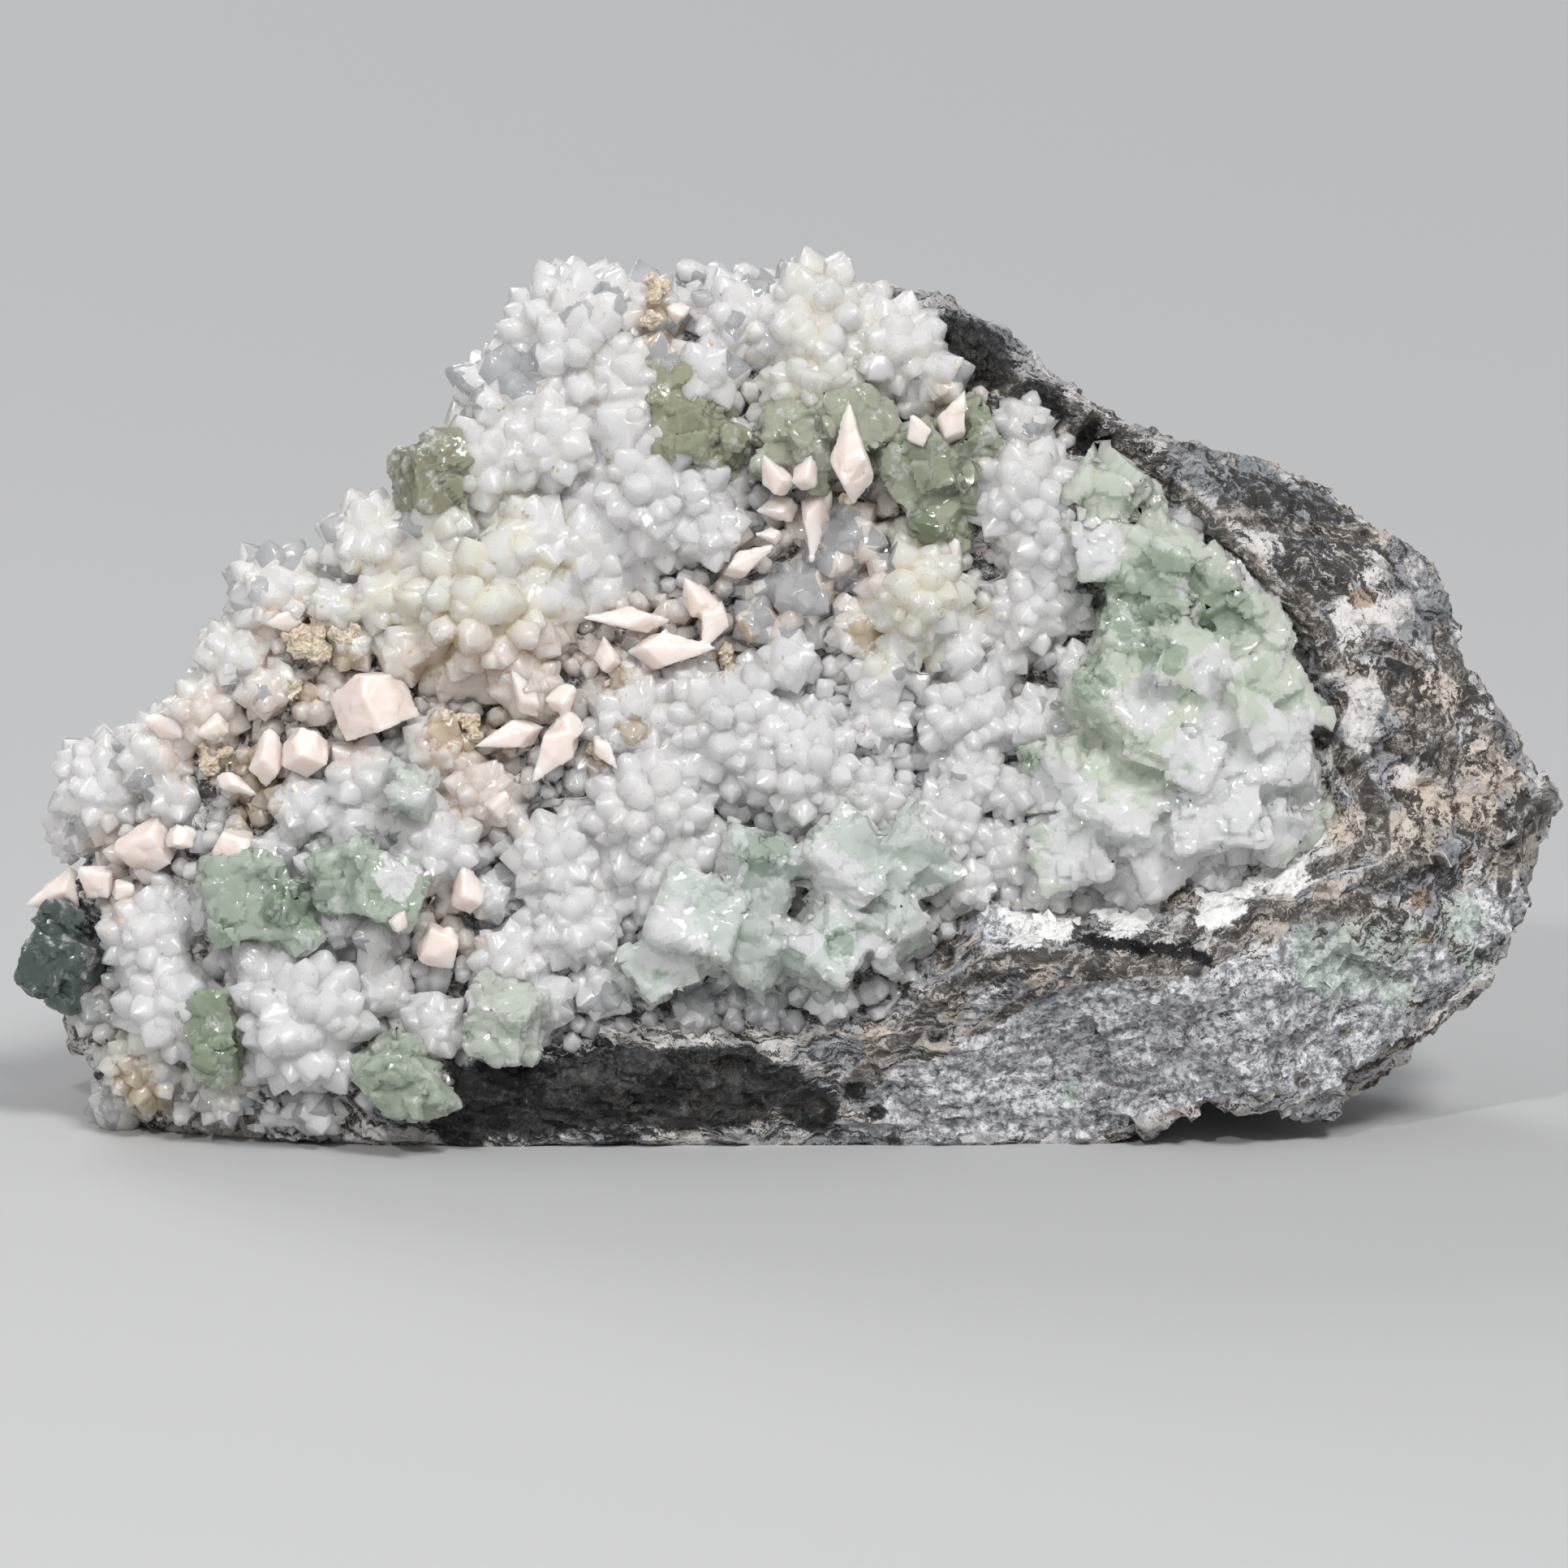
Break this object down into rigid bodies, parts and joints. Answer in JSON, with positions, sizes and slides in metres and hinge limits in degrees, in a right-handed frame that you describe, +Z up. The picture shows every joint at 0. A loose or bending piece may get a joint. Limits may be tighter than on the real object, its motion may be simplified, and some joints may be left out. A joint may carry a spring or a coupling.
{
  "type": "calcite specimen",
  "caption": "Cabinet mineral specimen: pinkish scalenohedral calcite crystals on a druse of radiating quartz with green fluorite blocks, on a slab of banded gneiss that stands on its flat base.",
  "frame": {"origin": "the middle of the flat base of the gneiss, on the surface that the specimen stands on", "axes": "+X to the right as the crystals are seen, along the specimen's length; -Y out of the crystal side; +Z up"},
  "size_m": [0.2018, 0.0688, 0.1145],
  "materials": {
    "gneiss": "rough broken rock, banded white, beige, brown and near black",
    "quartz": "glossy, milky translucent, cream in places",
    "fluorite": "translucent green to olive, frosted on most faces",
    "calcite": "satin, pinkish white, translucent at the edges"
  },
  "bodies": {
    "root": {"gneiss_matrix": "gneiss", "quartz_crust": "quartz", "fluorite_left_edge": "fluorite", "fluorite_upper_left": "fluorite", "fluorite_top": "fluorite", "fluorite_upper_right": "fluorite", "fluorite_right_mass": "fluorite", "fluorite_lower": "fluorite", "fluorite_lower_left": "fluorite", "fluorite_cleft": "fluorite", "fluorite_bottom": "fluorite", "fluorite_bottom_left": "fluorite", "fluorite_corner": "fluorite", "fluorite_mid_left": "fluorite", "calcite_spire": "calcite", "calcite_right_spear": "calcite", "calcite_right_tooth": "calcite", "calcite_left_wedge": "calcite", "calcite_upper_wedge": "calcite", "calcite_lower_wedge": "calcite", "calcite_hanging": "calcite", "calcite_bright_blade": "calcite", "calcite_small_blade": "calcite", "calcite_left_blade": "calcite", "calcite_left_tooth": "calcite", "calcite_right_blade": "calcite", "calcite_white_stack": "calcite", "calcite_left_spear": "calcite", "calcite_up_spear": "calcite", "calcite_down_spear": "calcite", "calcite_chip": "calcite", "calcite_dome": "calcite", "calcite_block": "calcite", "calcite_grey_column": "calcite", "calcite_knob": "calcite", "calcite_shaded": "calcite", "calcite_step": "calcite", "calcite_left_tip": "calcite", "calcite_left_knob": "calcite", "calcite_left_bud": "calcite", "calcite_leaf": "calcite", "calcite_ledge": "calcite", "calcite_ledge_tooth": "calcite", "calcite_upper_leaf": "calcite", "calcite_egg": "calcite", "calcite_pink_pair": "calcite", "calcite_top_spire": "calcite", "calcite_top_bud": "calcite", "calcite_small_pink": "calcite", "calcite_little_tooth": "calcite"}
  },
  "joints": []
}
